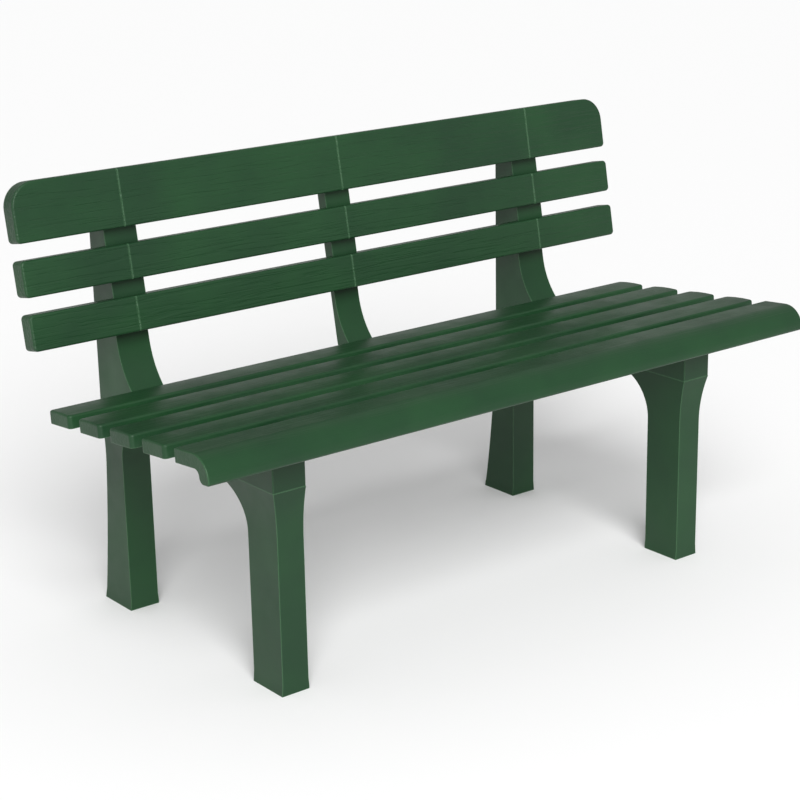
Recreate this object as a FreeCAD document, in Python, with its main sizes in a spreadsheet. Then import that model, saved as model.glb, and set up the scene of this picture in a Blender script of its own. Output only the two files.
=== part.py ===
"""Slatted garden bench in moulded polypropylene, built as a parametric FreeCAD document.

Five seat slats and three back slats are screwed to three bearers.  Each bearer is an upright that
curves forward at its foot and runs on under the seat.  The two outer bearers are hollow underneath,
and a leg plugs into each of their four sockets and is held by a cross bolt.

Frame: X along the bench, Y towards the back, Z up.  The origin is the centre of the bench's footprint
on the ground.  Millimetres and degrees.
"""
import FreeCAD, Part
import math
import os
import Sketcher

from FreeCAD import Placement, Rotation, Vector

# Driving dimensions: alias, value, what it is.
SIZES = [
    ("overall_length", 1207, "length of the back slats, along X"),
    ("overall_depth", 589, "front lip to the back of the rear feet, along Y"),
    ("overall_height", 732, "ground to the top of the back"),
    ("seat_end_inset", 3.5, "seat slats' ends inside the back slats' ends"),
    ("back_above_seat", 336, "top of the seat at its rear edge to the top of the back"),
    ("seat_slope", 4.9, "angle by which the seat rises towards the front"),
    ("seat_setback", 145, "back of the rear feet to the seat's rear edge"),
    ("seat_slat_thickness", 22, "depth of a seat slat's edge"),
    ("seat_slat_gap", 26.5, "space between two seat slats"),
    ("seat_slat_crown", 1.6, "rise of a seat slat's top across its width"),
    ("front_slat_depth", 83, "front seat slat, rear edge to nose"),
    ("nose_radius", 36, "roll of the front seat slat"),
    ("lip_thickness", 24, "front seat slat's lip, front to back"),
    ("lip_drop", 1.5, "straight part of the lip below the roll"),
    ("lip_round", 4.5, "radius of the lip's lower front edge"),
    ("back_lean", 10.25, "angle of the back from upright"),
    ("back_offset", 20.5, "seat's rear edge to the lower back slat's front, along Y"),
    ("back_slat_height", 56, "lower and middle back slats"),
    ("top_slat_height", 91, "top back slat"),
    ("back_slat_gap", 26, "space between two back slats"),
    ("back_slat_thickness", 30, "front to rear of a back slat"),
    ("top_corner_radius", 40, "upper corners of the top back slat"),
    ("slat_corner_radius", 7, "other corners of the slats' outlines"),
    ("slat_edge_radius", 3.5, "rounding of the slats' long front or top edges"),
    ("slat_wall", 3, "wall of the slats"),
    ("slat_rib", 2.5, "cross rib inside a slat"),
    ("rib_setback", 2, "cross rib's edge inside the slat's rim"),
    ("boss_radius", 6.5, "screw boss inside a slat"),
    ("bearer_centre", 419, "bench centre to an outer bearer's centre"),
    ("bearer_width", 58, "outer bearer, along X"),
    ("bearer_wall", 4, "wall of the bearers"),
    ("bearer_edge_radius", 2, "rounding of the bearers' outer edges"),
    ("centre_bearer_width", 50, "centre bearer, along X"),
    ("centre_upright_depth", 21, "centre bearer's upright, front to rear"),
    ("centre_arm_depth", 28, "centre bearer's arm under the seat"),
    ("centre_knee_radius", 50, "curve behind and below the centre bearer's knee"),
    ("upright_rebate", 18.5, "back slat's front face to the upright's front face"),
    ("upright_top", 236, "length of the uprights above the lower back slat's bottom edge"),
    ("upright_rear_setback", 32, "back of the rear feet to the outer uprights' rear face"),
    ("heel_rise", 60, "height of the outer bearers' closed heel above the leg shoulders"),
    ("neck_recess", 11, "uprights' step back below the lower back slat"),
    ("knee_radius", 130, "curve where the upright turns forward under the seat"),
    ("knee_step", 8, "upright step behind the rear slat, below the knee's curve"),
    ("arm_depth", 49, "seat slats' resting plane to the outer bearers' underside, at the rear"),
    ("toe_reach", 33, "arm's reach ahead of the front leg, under the front seat slat"),
    ("toe_depth", 15, "depth of that reach at its tip"),
    ("arm_front_setback", 72, "front lip to the front end of the outer bearers"),
    ("front_leg_outer_taper", 10, "front leg's outer side in from the bearer's"),
    ("front_leg_inner_taper", 1, "front leg's inner side in from the bearer's"),
    ("rear_leg_outer_taper", 6, "rear leg's outer side in from the bearer's"),
    ("rear_leg_inner_taper", 1, "rear leg's inner side in from the bearer's"),
    ("leg_wall", 4, "wall of the legs"),
    ("front_leg_depth", 76, "front leg, along Y"),
    ("rear_leg_foot_depth", 81, "rear leg at the ground, along Y"),
    ("leg_front_flare", 9, "forward sweep of the front leg's top"),
    ("front_gusset", 80, "radius of the front leg's gusset"),
    ("rear_gusset", 60, "radius of the rear leg's gusset"),
    ("gusset_edge", 6, "thickness of the gussets' tips"),
    ("capital_rise", 80, "height over which a leg's sides spread to the bearer's width"),
    ("foot_flare", 1.5, "spread of each side of a leg at the ground"),
    ("foot_rise", 18, "height of the foot's spread"),
    ("rear_sweep", 2400, "radius of the curve down a rear leg's back"),
    ("front_plug", 60, "front leg's plug above its shoulder"),
    ("rear_plug", 34, "rear leg's plug above its shoulder"),
    ("plug_bolt_edge", 20, "plug's top to its bolt"),
    ("fit_clearance", 0.3, "space around whatever fits into or beside another piece"),
    ("screw_shank", 2.4, "radius of a slat screw"),
    ("screw_head", 5, "radius of a slat screw's head"),
    ("screw_head_height", 3, "height of a slat screw's head"),
    ("screw_bite", 10, "length of a slat screw inside its boss"),
    ("bolt_shank", 4, "radius of a leg bolt"),
    ("bolt_head_across", 13, "leg bolt's head and nut, across flats"),
    ("bolt_head_height", 5.3, "height of a leg bolt's head"),
    ("nut_height", 6.5, "height of a leg nut"),
    ("washer_radius", 8, "radius of a leg bolt's washer"),
    ("washer_thickness", 1.6, "thickness of a leg bolt's washer"),
    ("bolt_tail", 3, "leg bolt's end beyond its nut"),
]

# Sizes and places worked out from the driving dimensions: alias, formula.
PLACES = [
    ("rear_foot", "Sizes.overall_depth / 2"),
    ("seat_rear", "rear_foot - Sizes.seat_setback"),
    ("seat_rear_height", "Sizes.overall_height - Sizes.back_above_seat"),
    ("seat_length", "Sizes.overall_length - 2 * Sizes.seat_end_inset"),
    ("seat_run", "(Sizes.overall_depth - Sizes.seat_setback - Sizes.nose_radius * sin(Sizes.seat_slope))"
                 " / cos(Sizes.seat_slope)"),
    ("slat_pitch", "(seat_run - Sizes.front_slat_depth) / 4"),
    ("slat_width", "slat_pitch - Sizes.seat_slat_gap"),
    ("back_pitch", "Sizes.back_slat_height + Sizes.back_slat_gap"),
    ("back_length", "2 * back_pitch + Sizes.top_slat_height"),
    ("back_bottom", "Sizes.overall_height - back_length * cos(Sizes.back_lean)"),
    ("back_front", "seat_rear + Sizes.back_offset"),
    ("rib_pitch", "Sizes.overall_length / 12"),
    # The uprights' front face: a line that leans back, at a distance behind the slats' front faces.
    ("face_y", "back_front + Sizes.upright_rebate / cos(Sizes.back_lean)"),
    ("face_rise", "1 / tan(Sizes.back_lean)"),
    ("upright_crest", "back_bottom + Sizes.upright_top * cos(Sizes.back_lean)"),
    ("crest_front", "face_y + (upright_crest - back_bottom) / face_rise"),
    # Below the lower back slat the face steps back to the neck's face.
    ("neck_y", "face_y + Sizes.neck_recess"),
    # The arms' upper face: the plane on which the seat slats rest.
    ("rest_drop", "Sizes.seat_slat_thickness / cos(Sizes.seat_slope)"),
    ("rest_rear", "seat_rear_height - rest_drop"),
    ("shoulder_height", "rest_rear - Sizes.arm_depth"),
    ("rest_rise", "tan(Sizes.seat_slope)"),
    # The knee: an arc tangent to the neck's front face that ends just behind the rear slat.
    ("knee_foot_y", "seat_rear + Sizes.fit_clearance + 2"),
    ("knee_foot_rest", "rest_rear - (knee_foot_y - seat_rear) * rest_rise"),
    ("knee_foot_z", "knee_foot_rest + Sizes.knee_step"),
    ("knee_skew", "(neck_y - knee_foot_y) * cos(Sizes.back_lean)"
                  " - (back_bottom - knee_foot_z) * sin(Sizes.back_lean)"),
    ("knee_reach", "sqrt(Sizes.knee_radius ^ 2 - (Sizes.knee_radius - knee_skew) ^ 2)"),
    ("knee_top_y", "knee_foot_y + knee_skew * cos(Sizes.back_lean) + knee_reach * sin(Sizes.back_lean)"),
    ("knee_top_z", "knee_foot_z - knee_skew * sin(Sizes.back_lean) + knee_reach * cos(Sizes.back_lean)"),
    ("knee_centre_y", "knee_top_y - Sizes.knee_radius * cos(Sizes.back_lean)"),
    ("knee_centre_z", "knee_top_z + Sizes.knee_radius * sin(Sizes.back_lean)"),
    ("inner_knee_y", "knee_foot_y + Sizes.bearer_wall"),
    ("inner_knee_z", "knee_centre_z - sqrt((Sizes.knee_radius + Sizes.bearer_wall) ^ 2"
                     " - (inner_knee_y - knee_centre_y) ^ 2)"),
    ("inner_top_y", "knee_top_y + Sizes.bearer_wall * cos(Sizes.back_lean)"),
    ("inner_top_z", "knee_top_z - Sizes.bearer_wall * sin(Sizes.back_lean)"),
    ("inner_crest_z", "upright_crest - Sizes.bearer_wall"),
    ("inner_face_y", "face_y + Sizes.bearer_wall / cos(Sizes.back_lean)"),
    ("inner_crest_y", "inner_face_y + (inner_crest_z - back_bottom) / face_rise"),
    ("inner_step_y", "inner_face_y + Sizes.bearer_wall / face_rise"),
    ("bearer_front", "Sizes.arm_front_setback - rear_foot"),
    ("bearer_front_rest", "rest_rear + (seat_rear - bearer_front) * rest_rise"),
    ("toe_front", "bearer_front - Sizes.toe_reach"),
    ("toe_rest", "rest_rear - (toe_front - seat_rear) * rest_rise"),
    ("toe_root", "toe_rest - Sizes.toe_depth - Sizes.toe_reach / 2"),
    ("ceiling_drop", "Sizes.bearer_wall / cos(Sizes.seat_slope)"),
    ("bearer_rear", "rear_foot - Sizes.upright_rear_setback"),
    ("heel_top", "shoulder_height + Sizes.heel_rise"),
    # Legs.
    ("front_leg_front", "bearer_front + Sizes.leg_front_flare"),
    ("front_leg_rear", "front_leg_front + Sizes.front_leg_depth"),
    ("rear_leg_front", "rear_foot - Sizes.rear_leg_foot_depth"),
    ("front_plug_front", "bearer_front + Sizes.bearer_wall + Sizes.fit_clearance"),
    ("plug_width", "Sizes.bearer_width - 2 * (Sizes.bearer_wall + Sizes.fit_clearance)"),
    ("front_plug_top", "shoulder_height + Sizes.front_plug"),
    ("rear_plug_top", "shoulder_height + Sizes.rear_plug"),
    ("front_bolt_y", "front_leg_front + Sizes.front_leg_depth / 2"),
    ("front_bolt_z", "front_plug_top - Sizes.plug_bolt_edge"),
    ("rear_plug_rear", "bearer_rear - Sizes.bearer_wall - Sizes.fit_clearance"),
    ("rear_bolt_y", "(rear_leg_front + rear_plug_rear) / 2"),
    ("rear_bolt_z", "rear_plug_top - Sizes.plug_bolt_edge"),
    # The centre bearer's lower rear corner, before it is rounded.
    ("corner_turn", "tan((90 + Sizes.back_lean - Sizes.seat_slope) / 2)"),
    ("rear_face_y", "face_y + Sizes.centre_upright_depth / cos(Sizes.back_lean)"),
    ("under_rear", "rest_rear - Sizes.centre_arm_depth / cos(Sizes.seat_slope)"),
    ("corner_z", "(under_rear - rest_rise * (rear_face_y - back_bottom / face_rise - seat_rear))"
                 " / (1 + rest_rise / face_rise)"),
    ("corner_y", "rear_face_y + (corner_z - back_bottom) / face_rise"),
    ("corner_run", "Sizes.centre_knee_radius / corner_turn"),
    ("lip_foot", "-Sizes.nose_radius - Sizes.lip_drop - Sizes.lip_round"),
    # Behind the lip two equal quarter arcs make an S up to the slat's underside.
    ("lip_sweep", "(-Sizes.seat_slat_thickness - lip_foot) / 2"),
    ("lip_rear", "Sizes.lip_thickness - Sizes.front_slat_depth"),
    ("bolt_hole", "Sizes.bolt_shank + Sizes.fit_clearance"),
    ("screw_hole", "Sizes.screw_shank + Sizes.fit_clearance"),
]

document = FreeCAD.newDocument("GardenBench")
sub_parts = []


def make_sheet(name, rows, formulas=False):
    """Fill one sheet with aliased cells, and return it."""
    sheet = document.addObject("Spreadsheet::Sheet", name)
    for number, row in enumerate(rows, start=1):
        sheet.set(f"A{number}", row[0])
        sheet.set(f"B{number}", f"={row[1]}" if formulas else str(row[1]))
        sheet.setAlias(f"B{number}", row[0])
        if not formulas:
            sheet.set(f"C{number}", row[2])
    document.recompute()
    return sheet


def value(formula):
    """Return the number that a formula over the two sheets gives."""
    result = places.evalExpression(formula)
    return float(getattr(result, "Value", result))


def make_body(label, base=("0", "0", "0"), lean=None):
    """Make a body placed by formulas; lean tips it back about X by a formula's angle."""
    body = document.addObject("PartDesign::Body", label)
    body.Label = label
    body.AllowCompound = True
    axis = Vector(-1, 0, 0)
    body.Placement = Placement(Vector(0, 0, 0), Rotation(axis, value(lean) if lean else 0))
    for letter, formula in zip("xyz", base):
        body.setExpression(f"Placement.Base.{letter}", formula)
    if lean:
        body.setExpression("Placement.Rotation.Angle", lean)
    sub_parts.append(body)
    return body


def make_sketch(body, name, role, offset="0", raised="0", lean=None):
    """Attach a sketch to one of the body's origin planes.

    It is moved along the plane's normal by offset and up the plane by raised, and tipped about its
    own first axis by lean.
    """
    sketch = body.newObject("Sketcher::SketchObject", f"{body.Label}_{name}")
    plane = next(item for item in body.Origin.OriginFeatures if item.Role == role)
    sketch.AttachmentSupport = [(plane, "")]
    sketch.MapMode = "FlatFace"
    if lean:
        sketch.AttachmentOffset = Placement(Vector(0, 0, 0), Rotation(Vector(-1, 0, 0), value(lean)))
        sketch.setExpression("AttachmentOffset.Rotation.Angle", lean)
    sketch.setExpression("AttachmentOffset.Base.y", raised)
    sketch.setExpression("AttachmentOffset.Base.z", offset)
    document.recompute()
    return sketch


def pin(sketch, geometry, position, across, upward):
    """Fix a sketch point by two distances from the origin, bound to formulas."""
    for kind, formula in (("DistanceX", across), ("DistanceY", upward)):
        number = sketch.addConstraint(Sketcher.Constraint(kind, -1, 1, geometry, position, value(formula)))
        sketch.setExpression(f"Constraints[{number}]", formula)


def arc_through(start, end, radius):
    """Return the anticlockwise arc from start to end, which has its centre left of the chord."""
    chord = end - start
    normal = Vector(-chord.y, chord.x, 0).normalize()
    rise = math.sqrt(max(radius ** 2 - chord.Length ** 2 / 4, 0))
    crown = (start + end) / 2 + normal * (rise - radius)
    return Part.Arc(start, crown, end)


def draw_outline(sketch, corners):
    """Draw a closed outline.

    Each corner is (across, upward) or (across, upward, radius, side); with a radius, the edge that
    leaves the corner is an arc with its centre on that side of the chord.
    """
    points = [Vector(value(corner[0]), value(corner[1]), 0) for corner in corners]
    for number, corner in enumerate(corners):
        ends = [number, (number + 1) % len(corners)]
        if len(corner) == 2:
            edge = sketch.addGeometry(Part.LineSegment(points[ends[0]], points[ends[1]]), False)
        else:
            if corner[3] < 0:
                ends.reverse()
            arc = arc_through(points[ends[0]], points[ends[1]], value(corner[2]))
            edge = sketch.addGeometry(arc, False)
            row = sketch.addConstraint(Sketcher.Constraint("Radius", edge, value(corner[2])))
            sketch.setExpression(f"Constraints[{row}]", corner[2])
        for position, end in enumerate(ends, start=1):
            pin(sketch, edge, position, corners[end][0], corners[end][1])
    return sketch


def draw_rectangle(sketch, left, bottom, right, top):
    """Draw a rectangle between formulas."""
    return draw_outline(sketch, [(left, bottom), (right, bottom), (right, top), (left, top)])


def draw_circle(sketch, across, upward, radius):
    """Draw a circle placed and sized by formulas."""
    centre = Vector(value(across), value(upward), 0)
    number = sketch.addGeometry(Part.Circle(centre, Vector(0, 0, 1), value(radius)), False)
    pin(sketch, number, 3, across, upward)
    row = sketch.addConstraint(Sketcher.Constraint("Radius", number, value(radius)))
    sketch.setExpression(f"Constraints[{row}]", radius)
    return sketch


def extrude(body, kind, sketch, length=None, both_ways=False, reverse=False):
    """Pad or pocket a sketch; with no length a pocket goes right through."""
    before = body.Shape.Volume if body.Tip else 0
    feature = body.newObject(f"PartDesign::{kind}", f"{sketch.Name}_{kind.lower()}")
    feature.Profile = sketch
    if length is None:
        feature.Type = "ThroughAll"
    else:
        feature.setExpression("Length", length)
    feature.Midplane = both_ways
    feature.Reversed = reverse
    sketch.Visibility = False
    document.recompute()
    change = body.Shape.Volume - before
    if (change > 0) != (kind == "Pad") or not body.Shape.isValid():
        raise RuntimeError(f"{feature.Name} changes nothing, or spoils the shape")
    return feature


def repeat(body, feature, axis_role, step, count, reverse=False):
    """Repeat a feature in a line, with a step given by a formula."""
    pattern = body.newObject("PartDesign::LinearPattern", f"{feature.Name}_row")
    pattern.Originals = [feature]
    axis = next(item for item in body.Origin.OriginFeatures if item.Role == axis_role)
    pattern.Direction = (axis, [""])
    pattern.Reversed = reverse
    pattern.Mode = "Spacing"
    pattern.setExpression("Offset", step)
    pattern.Occurrences = count
    body.Tip = pattern
    document.recompute()
    return pattern


def round_edges(body, name, radius, chosen):
    """Fillet the edges whose midpoint and direction pass the chosen test."""
    names = []
    base = body.Tip
    for number, edge in enumerate(base.Shape.Edges, start=1):
        middle = edge.valueAt((edge.FirstParameter + edge.LastParameter) / 2)
        along = edge.tangentAt((edge.FirstParameter + edge.LastParameter) / 2)
        if chosen(middle, along):
            names.append(f"Edge{number}")
    if not names:
        raise RuntimeError(f"{body.Label} has no edge for {name}")
    fillet = body.newObject("PartDesign::Fillet", f"{body.Label}_{name}")
    fillet.Base = (base, names)
    fillet.setExpression("Radius", radius)
    document.recompute()
    if not fillet.Shape.isValid():
        raise RuntimeError(f"{fillet.Name} spoils the shape")
    return fillet


def near(one, other):
    """Tell whether two sizes are the same."""
    return abs(one - other) < 0.01


def cut_rib_bays(body, role, offset, low, high, depth, thickness, reverse):
    """Stand cross ribs in a slat's hollow: one at the middle and five on each side of it."""
    sketch = make_sketch(body, "rib", role, offset)
    draw_rectangle(sketch, "-5 * Places.rib_pitch - " + thickness + " / 2", low,
                   "-5 * Places.rib_pitch + " + thickness + " / 2", high)
    rib = extrude(body, "Pad", sketch, depth, reverse=reverse)
    return repeat(body, rib, "X_Axis", "Places.rib_pitch", 11)


def add_row_of_three(body, kind, sketch, length, reverse=False):
    """Extrude a sketch drawn at the left bearer, and repeat it at the centre and right bearers."""
    feature = extrude(body, kind, sketch, length, reverse=reverse)
    return repeat(body, feature, "X_Axis", "Sizes.bearer_centre", 3)


def add_seat_bosses(body):
    """Stand a screw boss at each bearer inside a seat slat, and drill it."""
    middle = "-Places.slat_width / 2"
    foot = "-Sizes.seat_slat_thickness"
    boss = draw_circle(make_sketch(body, "boss", "XY_Plane", foot), "-Sizes.bearer_centre", middle,
                       "Sizes.boss_radius")
    add_row_of_three(body, "Pad", boss, "Sizes.seat_slat_thickness - Sizes.slat_wall / 2")
    hole = draw_circle(make_sketch(body, "pilot", "XY_Plane", foot), "-Sizes.bearer_centre", middle,
                       "Places.screw_hole")
    add_row_of_three(body, "Pocket", hole, "Sizes.screw_bite + 2", reverse=True)


def seat_place(steps):
    """Return the formulas of a point on the seat, a number of slat pitches from its rear edge."""
    return ("0",
            f"Places.seat_rear - {steps} * Places.slat_pitch * cos(Sizes.seat_slope)",
            f"Places.seat_rear_height + {steps} * Places.slat_pitch * sin(Sizes.seat_slope)")


def make_seat_slat(number):
    """Build a plain seat slat: a crowned plank, hollow underneath, with cross ribs and bosses."""
    body = make_body(f"seat_slat_{number + 1}", seat_place(number), "Sizes.seat_slope")
    crown_radius = ("(Places.slat_width ^ 2 / 4 + Sizes.seat_slat_crown ^ 2)"
                    " / (2 * Sizes.seat_slat_crown)")
    section = make_sketch(body, "section", "YZ_Plane")
    draw_outline(section, [
        ("-Places.slat_width", "-Sizes.seat_slat_thickness"),
        ("0", "-Sizes.seat_slat_thickness"),
        ("0", "-Sizes.seat_slat_crown", crown_radius, 1),
        ("-Places.slat_width", "-Sizes.seat_slat_crown"),
    ])
    extrude(body, "Pad", section, "Places.seat_length", both_ways=True)
    half = value("Places.seat_length") / 2
    foot = -value("Sizes.seat_slat_thickness")
    round_edges(body, "corners", "Sizes.slat_corner_radius",
                lambda middle, along: near(abs(middle.x), half) and abs(along.z) > 0.9)
    round_edges(body, "top_edges", "Sizes.slat_edge_radius",
                lambda middle, along: middle.z > -value("Sizes.seat_slat_crown") * 1.5 and abs(along.z) < 0.5)
    round_edges(body, "rim", "Sizes.slat_edge_radius / 3", lambda middle, along: near(middle.z, foot))
    hollow = draw_rectangle(make_sketch(body, "hollow", "YZ_Plane"),
                            "-Places.slat_width + Sizes.slat_wall", "-Sizes.seat_slat_thickness - 1",
                            "-Sizes.slat_wall", "-Sizes.slat_wall - Sizes.seat_slat_crown")
    extrude(body, "Pocket", hollow, "Places.seat_length - 2 * Sizes.slat_wall", both_ways=True)
    cut_rib_bays(body, "XY_Plane", "-Sizes.seat_slat_thickness + Sizes.rib_setback",
                 "-Places.slat_width + Sizes.slat_wall / 2", "-Sizes.slat_wall / 2",
                 "Sizes.seat_slat_thickness - Sizes.rib_setback - Sizes.slat_wall", "Sizes.slat_rib", False)
    add_seat_bosses(body)
    return body


def front_slat_corners(inset, setback):
    """Return the outline of the front slat's section, pulled in by inset and up by setback."""
    nose = f"(-Sizes.front_slat_depth + {inset})"
    return [
        (f"-{inset}", f"-Sizes.seat_slat_thickness + {setback}"),
        (f"-{inset}", f"-{inset}"),
        ("Sizes.nose_radius - Sizes.front_slat_depth", f"-{inset}", f"Sizes.nose_radius - {inset}", 1),
        (nose, "-Sizes.nose_radius"),
        (nose, "-Sizes.nose_radius - Sizes.lip_drop", "Sizes.lip_round", 1),
        (f"{nose} + Sizes.lip_round", "Places.lip_foot"),
        ("Places.lip_rear - Places.lip_sweep", f"Places.lip_foot + {setback}", "Places.lip_sweep", 1),
        ("Places.lip_rear", f"Places.lip_foot + Places.lip_sweep + {setback}", "Places.lip_sweep", -1),
        ("Places.lip_rear + Places.lip_sweep", f"-Sizes.seat_slat_thickness + {setback}"),
    ]


def make_front_slat():
    """Build the front seat slat: a plank whose front rolls down to a lip, hollow underneath."""
    body = make_body("front_seat_slat", seat_place(4), "Sizes.seat_slope")
    section = draw_outline(make_sketch(body, "section", "YZ_Plane"), front_slat_corners("0", "0"))
    extrude(body, "Pad", section, "Places.seat_length", both_ways=True)
    half = value("Places.seat_length") / 2
    round_edges(body, "rear_edge", "Sizes.slat_edge_radius",
                lambda middle, along: abs(along.x) > 0.9 and near(middle.y, 0) and near(middle.z, 0))
    round_edges(body, "ends", "Sizes.slat_edge_radius / 2",
                lambda middle, along: near(abs(middle.x), half))
    deep = "-Sizes.nose_radius - Sizes.front_slat_depth"
    hollow = draw_outline(make_sketch(body, "hollow", "YZ_Plane"), [
        ("-Sizes.slat_wall", deep),
        ("-Sizes.slat_wall", "-Sizes.slat_wall"),
        ("Sizes.nose_radius - Sizes.front_slat_depth", "-Sizes.slat_wall",
         "Sizes.nose_radius - Sizes.slat_wall", 1),
        ("Sizes.slat_wall - Sizes.front_slat_depth", "-Sizes.nose_radius"),
        ("Sizes.slat_wall - Sizes.front_slat_depth", "-Sizes.nose_radius - Sizes.lip_drop"),
        ("Sizes.slat_wall + Sizes.lip_round - Sizes.front_slat_depth", "Places.lip_foot + Sizes.slat_wall"),
        ("Sizes.slat_wall + Sizes.lip_round - Sizes.front_slat_depth", deep),
    ])
    extrude(body, "Pocket", hollow, "Places.seat_length - 2 * Sizes.slat_wall", both_ways=True)
    rib = draw_outline(make_sketch(body, "rib", "YZ_Plane", "-5 * Places.rib_pitch - Sizes.slat_rib / 2"),
                       front_slat_corners("Sizes.slat_wall / 2", "Sizes.rib_setback"))
    repeat(body, extrude(body, "Pad", rib, "Sizes.slat_rib"), "X_Axis", "Places.rib_pitch", 11)
    add_seat_bosses(body)
    return body


def draw_rounded(sketch, half, bottom, top, lower_radius, upper_radius):
    """Draw an upright rectangle with rounded corners, from -half to half."""
    return draw_outline(sketch, [
        (f"-{half} + {lower_radius}", bottom),
        (f"{half} - {lower_radius}", bottom, lower_radius, 1),
        (half, f"{bottom} + {lower_radius}"),
        (half, f"{top} - {upper_radius}", upper_radius, 1),
        (f"{half} - {upper_radius}", top),
        (f"-{half} + {upper_radius}", top, upper_radius, 1),
        (f"-{half}", f"{top} - {upper_radius}"),
        (f"-{half}", f"{bottom} + {lower_radius}", lower_radius, 1),
    ])


def make_back_slat(label, rank, height, upper_radius, notch_height, screw_heights):
    """Build a back slat: a rounded board, hollow behind, notched for the uprights.

    Rank counts the slats from the lowest, and heights run from the slat's own bottom edge.
    """
    rise = f"{rank} * Places.back_pitch"
    place = ("0", f"Places.back_front + {rise} * sin(Sizes.back_lean)",
             f"Places.back_bottom + {rise} * cos(Sizes.back_lean)")
    body = make_body(label, place, "Sizes.back_lean")
    half = "Sizes.overall_length / 2"
    outline = draw_rounded(make_sketch(body, "outline", "XZ_Plane"), half, "0", height,
                           "Sizes.slat_corner_radius", upper_radius)
    extrude(body, "Pad", outline, "Sizes.back_slat_thickness", reverse=True)
    rear = value("Sizes.back_slat_thickness")
    round_edges(body, "face_edges", "Sizes.slat_edge_radius", lambda middle, along: near(middle.y, 0))
    round_edges(body, "rim", "Sizes.slat_edge_radius / 3", lambda middle, along: near(middle.y, rear))
    hollow = draw_rounded(make_sketch(body, "hollow", "XZ_Plane", "-Sizes.back_slat_thickness"),
                          f"({half} - Sizes.slat_wall)", "Sizes.slat_wall",
                          f"({height} - Sizes.slat_wall)",
                          "(Sizes.slat_corner_radius - Sizes.slat_wall)",
                          f"({upper_radius} - Sizes.slat_wall)")
    extrude(body, "Pocket", hollow, "Sizes.back_slat_thickness - Sizes.slat_wall", reverse=True)
    inside = "-Sizes.slat_wall / 2"
    rib = draw_rectangle(make_sketch(body, "rib", "XZ_Plane", inside),
                         "-5 * Places.rib_pitch - Sizes.slat_rib / 2", "Sizes.slat_wall / 2",
                         "-5 * Places.rib_pitch + Sizes.slat_rib / 2", f"{height} - Sizes.slat_wall / 2")
    rib_depth = "Sizes.back_slat_thickness - Sizes.rib_setback - Sizes.slat_wall / 2"
    repeat(body, extrude(body, "Pad", rib, rib_depth, reverse=True), "X_Axis", "Places.rib_pitch", 11)
    cut_upright_notches(body, notch_height)
    rest = "Sizes.upright_rebate - Sizes.slat_wall / 2"
    seat = draw_rectangle(make_sketch(body, "bearing_rib", "XZ_Plane", inside),
                          "-Sizes.bearer_centre - Sizes.slat_rib / 2", "Sizes.slat_wall / 2",
                          "-Sizes.bearer_centre + Sizes.slat_rib / 2", f"{height} - Sizes.slat_wall / 2")
    add_row_of_three(body, "Pad", seat, rest, reverse=True)
    boss = make_sketch(body, "boss", "XZ_Plane", inside)
    for level in screw_heights:
        draw_circle(boss, "-Sizes.bearer_centre", level, "Sizes.boss_radius")
    add_row_of_three(body, "Pad", boss, rest, reverse=True)
    pilot = make_sketch(body, "pilot", "XZ_Plane", "-Sizes.upright_rebate")
    for level in screw_heights:
        draw_circle(pilot, "-Sizes.bearer_centre", level, "Places.screw_hole")
    add_row_of_three(body, "Pocket", pilot, "Sizes.screw_bite + 2", reverse=True)
    return body


def cut_upright_notches(body, notch_height):
    """Cut the notches that let the three uprights into a back slat from behind."""
    spans = (("left", "-Sizes.bearer_centre", "Sizes.bearer_width"),
             ("centre", "0", "Sizes.centre_bearer_width"),
             ("right", "Sizes.bearer_centre", "Sizes.bearer_width"))
    sketch = make_sketch(body, "notches", "XY_Plane")
    for name, middle, width in spans:
        reach = f"({width} / 2 + Sizes.fit_clearance)"
        draw_rectangle(sketch, f"{middle} - {reach}", "Sizes.upright_rebate",
                       f"{middle} + {reach}", "Sizes.back_slat_thickness + 1")
    extrude(body, "Pocket", sketch, notch_height, reverse=True)


def rest_height(across, drop="0"):
    """Return the formula of the height of the slats' resting plane at a place along Y, less a drop."""
    return f"Places.rest_rear - ({across} - Places.seat_rear) * Places.rest_rise - {drop}"


def face_place(height, recess):
    """Return the formula of the place along Y of an upright's inner front face at a height."""
    return f"Places.inner_face_y + {recess} + ({height} - Places.back_bottom) / Places.face_rise"


UPRIGHT_FRONT = [
    ("Places.crest_front", "Places.upright_crest"),
    ("Places.face_y", "Places.back_bottom"),
    ("Places.neck_y", "Places.back_bottom"),
    ("Places.knee_top_y", "Places.knee_top_z", "Sizes.knee_radius", -1),
    ("Places.knee_foot_y", "Places.knee_foot_z"),
    ("Places.knee_foot_y", "Places.knee_foot_rest"),
    ("Places.toe_front", "Places.toe_rest"),
]


# Heights of the back screws above the lower back slat's bottom edge, along the lean.
PLAIN_SCREWS = ["Sizes.back_slat_height / 2"]
TOP_SCREWS = ["Sizes.top_slat_height / 4", "Sizes.top_slat_height / 2 + Sizes.boss_radius"]
BACK_SCREWS = (PLAIN_SCREWS + [f"Places.back_pitch + {level}" for level in PLAIN_SCREWS]
               + [f"2 * Places.back_pitch + {level}" for level in TOP_SCREWS])
# Heights of the uprights' ribs, which stand clear of the screws, with the face's recess there.
RIB_LEVELS = [(f"(Places.back_bottom + {along} * cos(Sizes.back_lean))", recess)
              for along, recess in (("(-Sizes.back_slat_gap)", "Sizes.neck_recess"),
                                    ("(Places.back_pitch - Sizes.back_slat_gap)", "0"),
                                    ("(2 * Places.back_pitch - Sizes.back_slat_gap)", "0"),
                                    ("(2 * Places.back_pitch + Sizes.top_slat_height * 0.4)", "0"))]
# Each leg bolt's place along Y and height: front, then rear.
LEG_BOLTS = [("Places.front_bolt_y", "Places.front_bolt_z"), ("Places.rear_bolt_y", "Places.rear_bolt_z")]
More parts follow.
